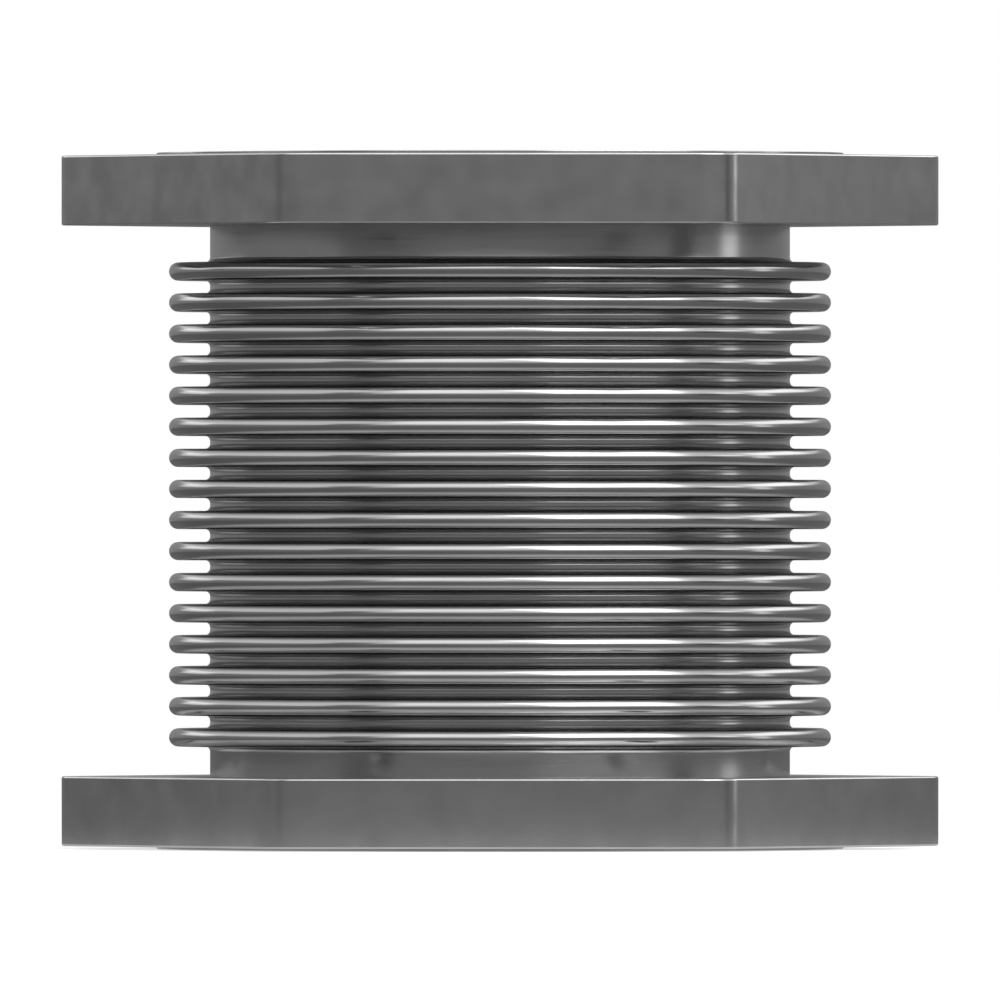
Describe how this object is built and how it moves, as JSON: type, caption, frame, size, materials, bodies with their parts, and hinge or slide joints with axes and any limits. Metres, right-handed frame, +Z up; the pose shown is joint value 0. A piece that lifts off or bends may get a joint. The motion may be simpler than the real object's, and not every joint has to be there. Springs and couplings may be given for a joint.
{
  "type": "exhaust bellows",
  "caption": "Round convoluted steel tube that takes up heat growth, its lapped ends held in thick hexagonal flanges that bolt between two exhaust pipes.",
  "frame": {"origin": "centre of the lower lap's sealing face, where the tube's axis meets the surface that the part stands on", "axes": "+Z up along the tube's axis; +X through a corner and a bolt hole of each flange; a flat side of each flange faces -Y"},
  "size_m": [0.192, 0.169, 0.1524],
  "materials": {
    "flange_steel": "satin machined steel plate with faint cloudy heat tint",
    "bellows_steel": "bright rolled stainless sheet, polished along its crests"
  },
  "bodies": {
    "tube": {"bellows": "bellows_steel"},
    "lower_end": {"lower_flange": "flange_steel"},
    "upper_end": {"upper_flange": "flange_steel"}
  },
  "joints": [
    {"name": "axial_travel", "type": "slide", "parent": "tube", "child": "upper_end", "axis": [0, 0, 1], "range_m": [-0.01, 0.005], "stiffness_N_per_m": 520000, "deforming": ["bellows"]},
    {"name": "lower_flange_turn", "type": "hinge", "parent": "tube", "child": "lower_end", "pos_m": [0, 0, 0.00825], "axis": [0, 0, 1], "continuous": true}
  ]
}
